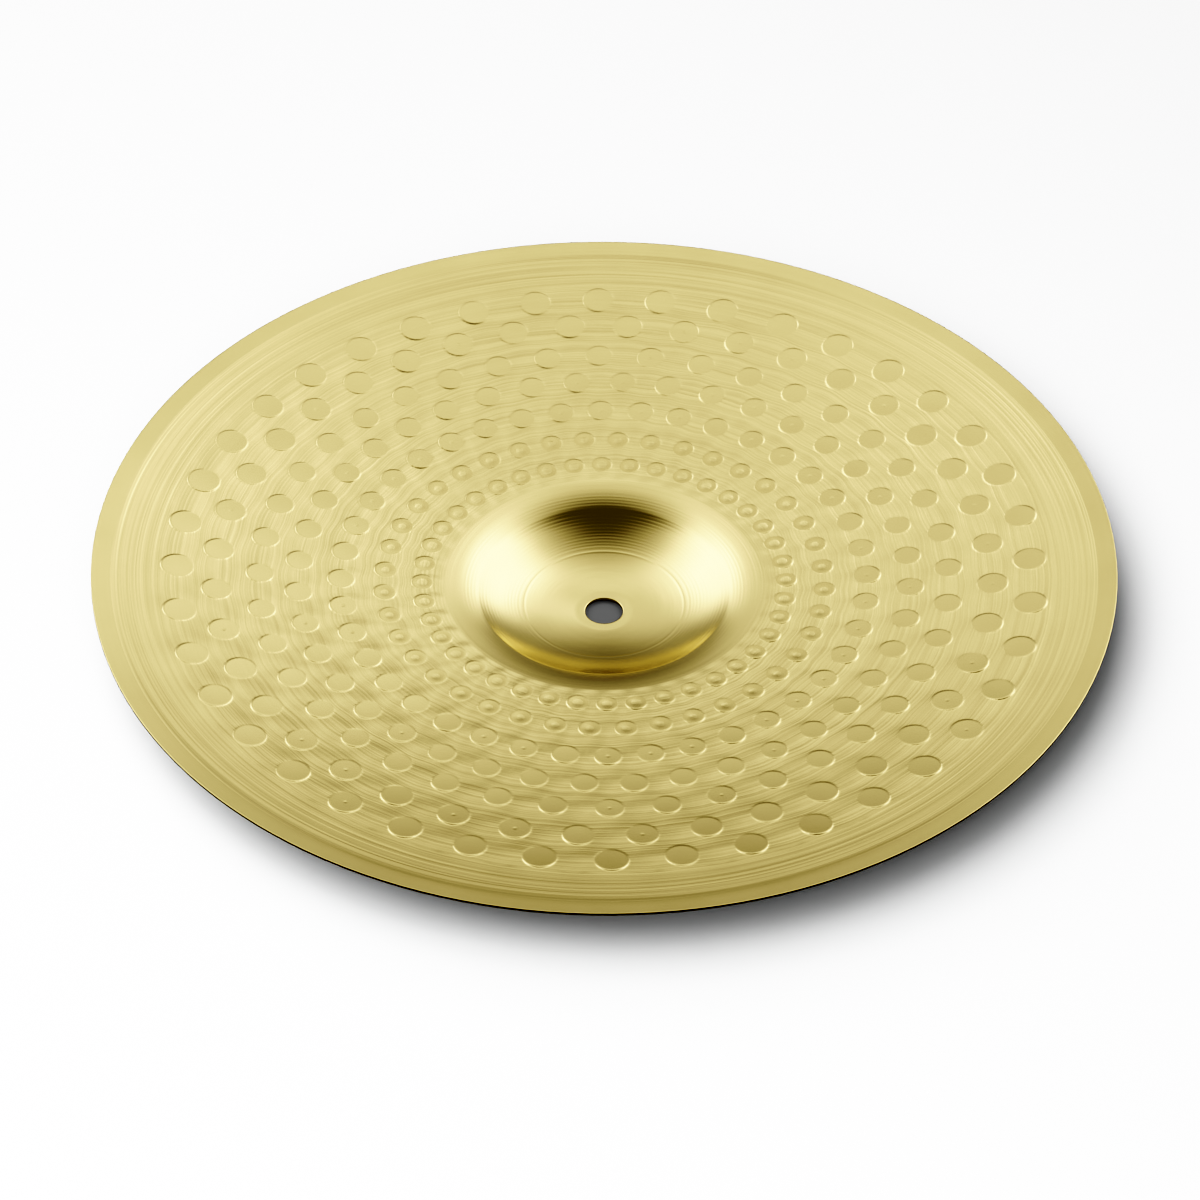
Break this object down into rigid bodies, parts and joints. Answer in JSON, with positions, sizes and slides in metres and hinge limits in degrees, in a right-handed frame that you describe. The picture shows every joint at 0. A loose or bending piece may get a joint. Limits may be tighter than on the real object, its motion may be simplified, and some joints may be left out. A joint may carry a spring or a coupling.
{
  "type": "crash cymbal",
  "caption": "Round hammered crash cymbal: a thin shallow bowl of bronze with a domed bell and a mounting hole at its centre.",
  "frame": {"origin": "centre of the mounting hole, at the outer face of the bell's crown, which is the lowest point of the part", "axes": "+Z along the hole, out of the hollow underside. The cymbal lies on its bell with its underside up, so a player turns it over to put it on a stand"},
  "size_m": [0.3556, 0.3556, 0.0284],
  "materials": {
    "lathed_bronze": "fine lathed rings, satin gloss, pale gold"
  },
  "bodies": {
    "root": {"cymbal": "lathed_bronze"}
  },
  "joints": []
}
